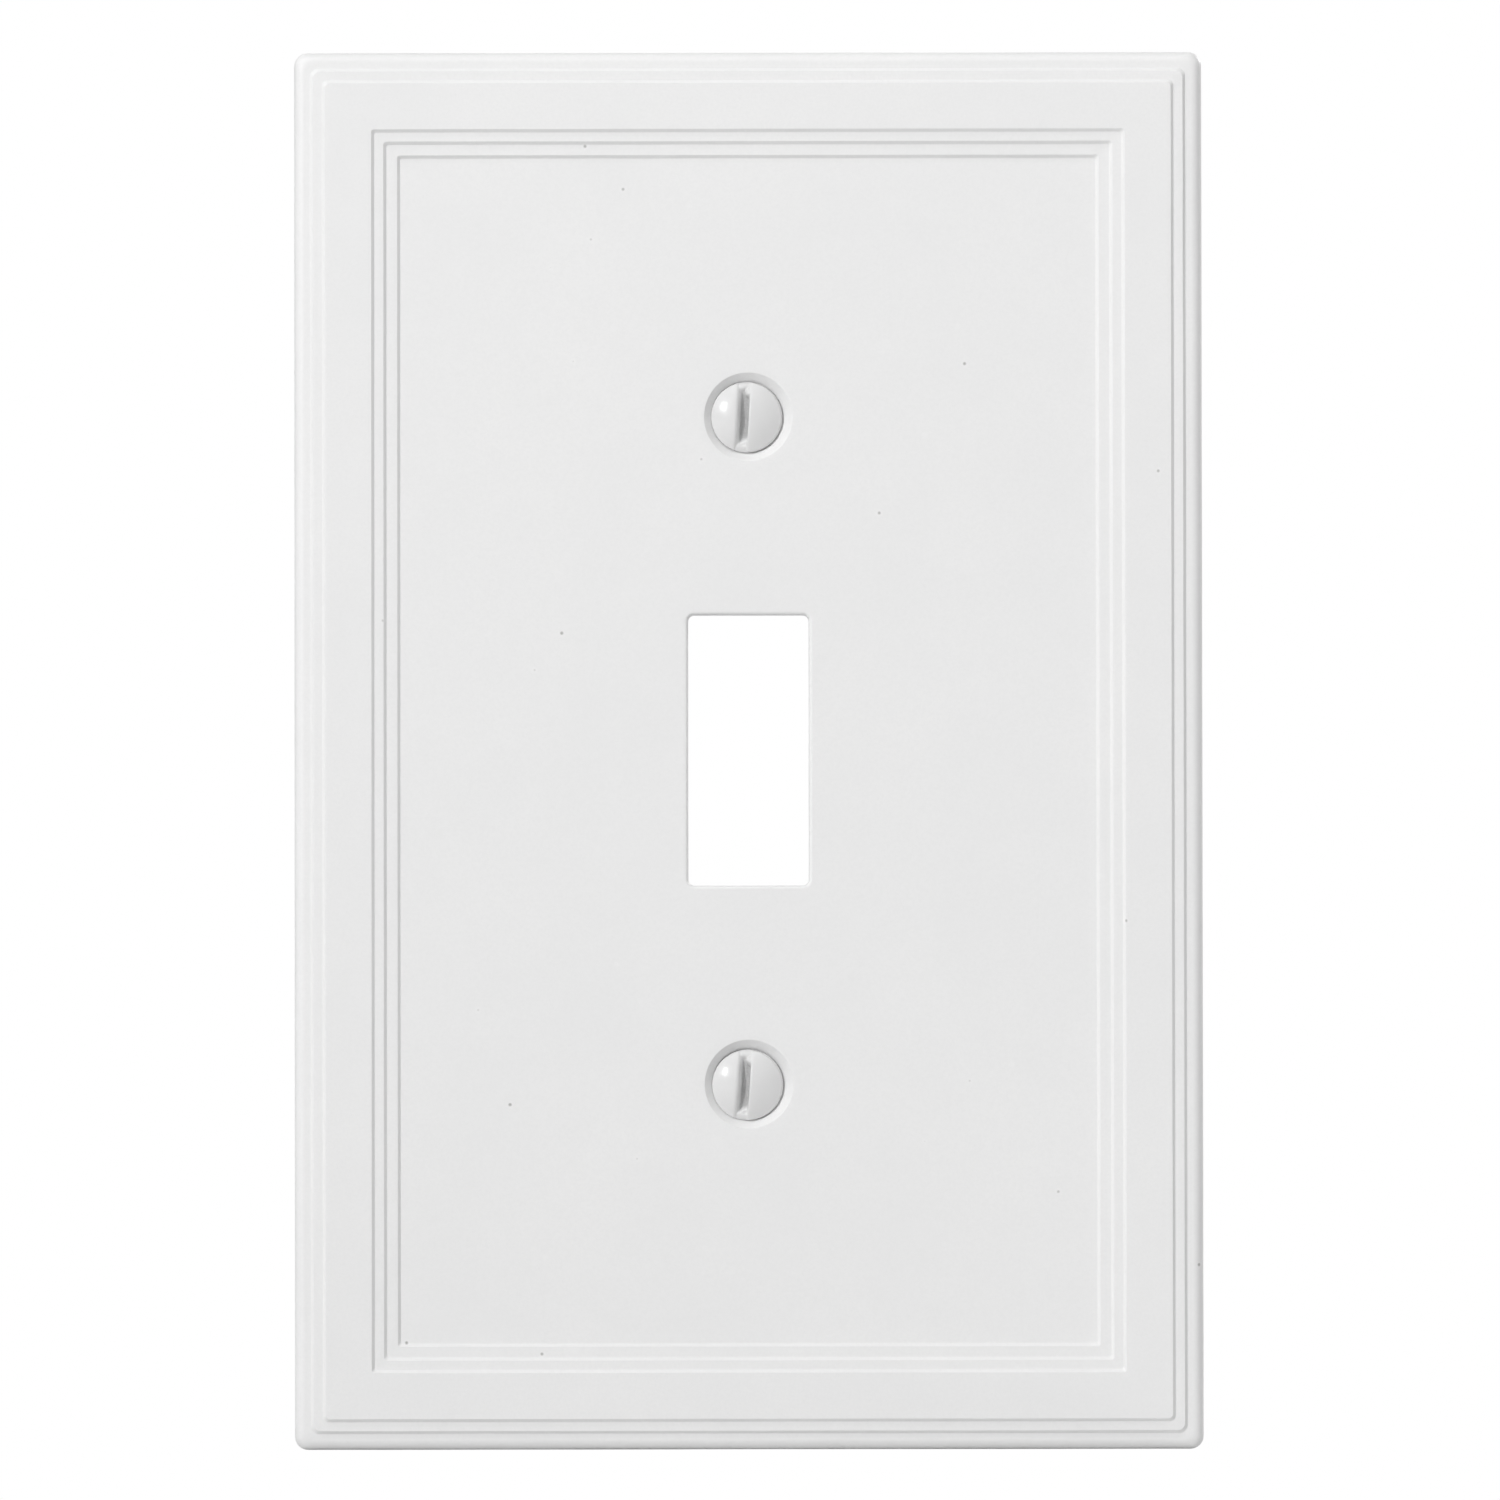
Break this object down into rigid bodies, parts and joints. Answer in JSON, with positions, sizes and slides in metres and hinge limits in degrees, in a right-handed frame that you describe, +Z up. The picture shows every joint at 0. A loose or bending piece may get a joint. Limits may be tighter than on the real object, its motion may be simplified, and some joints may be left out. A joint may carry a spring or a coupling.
{
  "type": "wall plate cover",
  "caption": "Rectangular wall plate with a stepped, raised frame and a recessed panel, for a toggle switch, with its countersunk oval-head screws held captive.",
  "frame": {"origin": "middle of the wall side, in the plane of the wall, halfway between the two screws", "axes": "+Z up the plate, +X to the right seen from the room, +Y into the wall, so the front faces -Y"},
  "size_m": [0.082, 0.0177, 0.1264],
  "materials": {
    "plate_paint": "satin white paint over cast resin",
    "screw_enamel": "gloss white enamel on the head, zinc plating on the thread",
    "washer_plastic": "natural polyethylene, slightly waxy"
  },
  "bodies": {
    "plate": {"face_plate": "plate_paint"},
    "upper_washer": {"upper_captive_washer": "washer_plastic"},
    "upper_screw": {"upper_screw": "screw_enamel"},
    "lower_washer": {"lower_captive_washer": "washer_plastic"},
    "lower_screw": {"lower_screw": "screw_enamel"}
  },
  "joints": [
    {"name": "upper_screw_turn", "type": "hinge", "parent": "plate", "child": "upper_washer", "pos_m": [0, 0, 0.03016], "axis": [0, -1, 0], "range_deg": [0, 5760]},
    {"name": "upper_screw_travel", "type": "slide", "parent": "upper_washer", "child": "upper_screw", "axis": [0, -1, 0], "range_m": [0, 0.0127]},
    {"name": "lower_screw_turn", "type": "hinge", "parent": "plate", "child": "lower_washer", "pos_m": [0, 0, -0.03016], "axis": [0, -1, 0], "range_deg": [0, 5760]},
    {"name": "lower_screw_travel", "type": "slide", "parent": "lower_washer", "child": "lower_screw", "axis": [0, -1, 0], "range_m": [0, 0.0127]}
  ],
  "couplings": [
    {"joint": "upper_screw_turn", "follows": "upper_screw_travel", "rad_per_m": 7915.8},
    {"joint": "lower_screw_turn", "follows": "lower_screw_travel", "rad_per_m": 7915.8}
  ]
}
